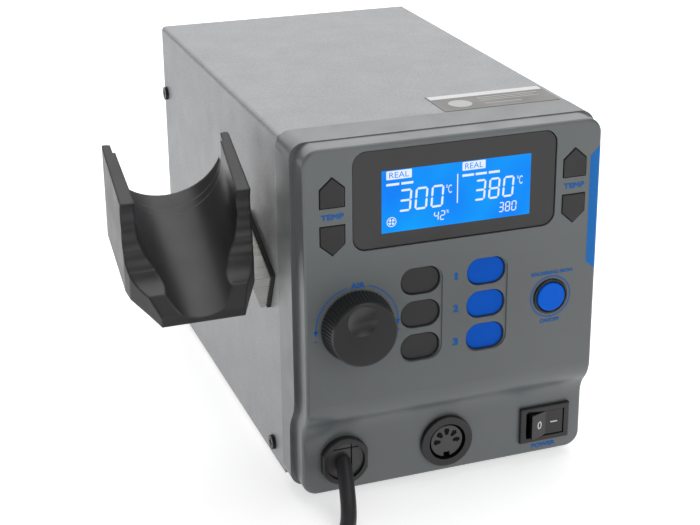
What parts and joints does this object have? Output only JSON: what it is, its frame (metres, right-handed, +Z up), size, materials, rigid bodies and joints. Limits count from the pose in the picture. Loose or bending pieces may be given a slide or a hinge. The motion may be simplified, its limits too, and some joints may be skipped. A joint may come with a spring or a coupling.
{
  "type": "hot air station",
  "caption": "Bench hot air station: sheet-metal case, moulded control front with display, keys, knob and switch, a side cradle, and a hot air handpiece on a coiled lead.",
  "frame": {"origin": "on the table, at the middle of the station, its cradle and the handpiece that lies in front, seen from above", "axes": "+X to the right of a person facing the controls, +Y from the controls towards the back panel, +Z up"},
  "size_m": [0.2695, 0.3597, 0.142],
  "materials": {
    "case_paint": "fine textured powder coat",
    "tray_steel": "zinc-plated sheet",
    "rear_paint": "fine textured powder coat",
    "foot_rubber": "matt black rubber",
    "black_screw": "black oxide",
    "plain_screw": "zinc plated",
    "inlet_plastic": "black nylon with metal blades",
    "label_foil": "silver polyester label",
    "bezel_plastic": "fine-grained ABS",
    "window_tint": "tinted clear acrylic",
    "frame_plastic": "black ABS",
    "display_glass": "liquid-crystal cell",
    "board_green": "solder-masked laminate",
    "switch_body": "moulded switch bodies",
    "key_black": "matt silicone rubber",
    "key_blue": "matt silicone rubber",
    "button_blue": "satin ABS",
    "ring_black": "satin black ABS",
    "knob_plastic": "satin black ABS",
    "shaft_metal": "turned",
    "encoder_metal": "stamped",
    "gland_plastic": "black nylon",
    "clamp_plastic": "grey nylon",
    "socket_metal": "satin black moulding",
    "insert_plastic": "dark phenolic",
    "contact_metal": "gilt brass",
    "rocker_plastic": "black nylon",
    "board_tan": "solder-masked laminate",
    "sink_aluminium": "extruded",
    "device_black": "moulded epoxy",
    "can_sleeve": "sleeved cans",
    "core_steel": "varnished laminations",
    "winding": "polyester tape",
    "cradle_plastic": "heat-resistant nylon",
    "magnet": "nickel plated",
    "bracket_steel": "nickel plated",
    "pad_rubber": "matt",
    "lead_rubber": "matt silicone sheath",
    "tie_fabric": "hook and loop",
    "handle_plastic": "fine-grained nylon",
    "cap_plastic": "black nylon",
    "fan_plastic": "black glass-filled nylon",
    "barrel_steel": "stainless, lightly heat tinted",
    "ceramic": "cordierite",
    "nozzle_steel": "stainless"
  },
  "bodies": {
    "station": {"case_cover": "case_paint", "base_tray": "tray_steel", "rear_panel": "rear_paint", "rubber_feet": "foot_rubber", "cover_screws": "black_screw", "chassis_screws": "plain_screw", "mains_inlet": "inlet_plastic", "top_label": "label_foil", "front_bezel": "bezel_plastic", "display_window": "window_tint", "lcd_frame": "frame_plastic", "lcd_glass": "display_glass", "control_board": "board_green", "key_switches": "switch_body", "iron_button_ring": "ring_black", "encoder_body": "encoder_metal", "lead_gland": "gland_plastic", "gland_clamp": "clamp_plastic", "socket_shell": "socket_metal", "socket_insert": "insert_plastic", "socket_contacts": "contact_metal", "switch_housing": "rocker_plastic", "main_board": "board_tan", "heatsink": "sink_aluminium", "power_triacs": "device_black", "capacitors": "can_sleeve", "transformer_core": "core_steel", "transformer_winding": "winding", "cradle": "cradle_plastic", "cradle_magnet": "magnet", "cradle_bracket": "bracket_steel", "bracket_pad": "pad_rubber", "bracket_screws": "plain_screw", "lead_front": "lead_rubber", "lead_coil": "lead_rubber", "coil_tie": "tie_fabric", "lead_tail": "lead_rubber", "handle_upper": "handle_plastic", "handle_lower": "handle_plastic", "tail_cap": "cap_plastic", "fan_frame": "fan_plastic", "heater_barrel": "barrel_steel", "heater_core": "ceramic", "hot_air_nozzle": "nozzle_steel", "handpiece_relief": "gland_plastic"},
    "knob": {"air_knob": "knob_plastic", "encoder_shaft": "shaft_metal"},
    "rocker": {"power_rocker": "rocker_plastic"},
    "impeller": {"fan_impeller": "fan_plastic"},
    "air_preset_1_key": {"air_preset_1": "key_black"},
    "air_preset_2_key": {"air_preset_2": "key_black"},
    "air_preset_3_key": {"air_preset_3": "key_black"},
    "iron_preset_1_key": {"iron_preset_1": "key_blue"},
    "iron_preset_2_key": {"iron_preset_2": "key_blue"},
    "iron_preset_3_key": {"iron_preset_3": "key_blue"},
    "air_temp_up_key": {"air_temp_up": "key_black"},
    "air_temp_down_key": {"air_temp_down": "key_black"},
    "iron_temp_up_key": {"iron_temp_up": "key_black"},
    "iron_temp_down_key": {"iron_temp_down": "key_black"},
    "iron_button_key": {"iron_button": "button_blue"}
  },
  "joints": [
    {"name": "knob_turn", "type": "hinge", "parent": "station", "child": "knob", "pos_m": [-0.05205, -0.02565, 0.0736], "axis": [0, 1, 0], "continuous": true},
    {"name": "power_switch", "type": "hinge", "parent": "station", "child": "rocker", "pos_m": [0.02805, -0.01395, 0.0164], "axis": [0, 0, -1], "range_deg": [0, 20]},
    {"name": "fan_spin", "type": "hinge", "parent": "station", "child": "impeller", "pos_m": [-0.0578, -0.15558, 0.0185], "axis": [0.9976, -0.0698, 0], "continuous": true},
    {"name": "air_preset_1_press", "type": "slide", "parent": "station", "child": "air_preset_1_key", "axis": [0, 1, 0], "range_m": [0, 0.0006], "stiffness_N_per_m": 800},
    {"name": "air_preset_2_press", "type": "slide", "parent": "station", "child": "air_preset_2_key", "axis": [0, 1, 0], "range_m": [0, 0.0006], "stiffness_N_per_m": 800},
    {"name": "air_preset_3_press", "type": "slide", "parent": "station", "child": "air_preset_3_key", "axis": [0, 1, 0], "range_m": [0, 0.0006], "stiffness_N_per_m": 800},
    {"name": "iron_preset_1_press", "type": "slide", "parent": "station", "child": "iron_preset_1_key", "axis": [0, 1, 0], "range_m": [0, 0.0006], "stiffness_N_per_m": 800},
    {"name": "iron_preset_2_press", "type": "slide", "parent": "station", "child": "iron_preset_2_key", "axis": [0, 1, 0], "range_m": [0, 0.0006], "stiffness_N_per_m": 800},
    {"name": "iron_preset_3_press", "type": "slide", "parent": "station", "child": "iron_preset_3_key", "axis": [0, 1, 0], "range_m": [0, 0.0006], "stiffness_N_per_m": 800},
    {"name": "air_temp_up_press", "type": "slide", "parent": "station", "child": "air_temp_up_key", "axis": [0, 1, 0], "range_m": [0, 0.0006], "stiffness_N_per_m": 800},
    {"name": "air_temp_down_press", "type": "slide", "parent": "station", "child": "air_temp_down_key", "axis": [0, 1, 0], "range_m": [0, 0.0006], "stiffness_N_per_m": 800},
    {"name": "iron_temp_up_press", "type": "slide", "parent": "station", "child": "iron_temp_up_key", "axis": [0, 1, 0], "range_m": [0, 0.0006], "stiffness_N_per_m": 800},
    {"name": "iron_temp_down_press", "type": "slide", "parent": "station", "child": "iron_temp_down_key", "axis": [0, 1, 0], "range_m": [0, 0.0006], "stiffness_N_per_m": 800},
    {"name": "iron_button_press", "type": "slide", "parent": "station", "child": "iron_button_key", "axis": [0, 1, 0], "range_m": [0, 0.0006], "stiffness_N_per_m": 800}
  ]
}
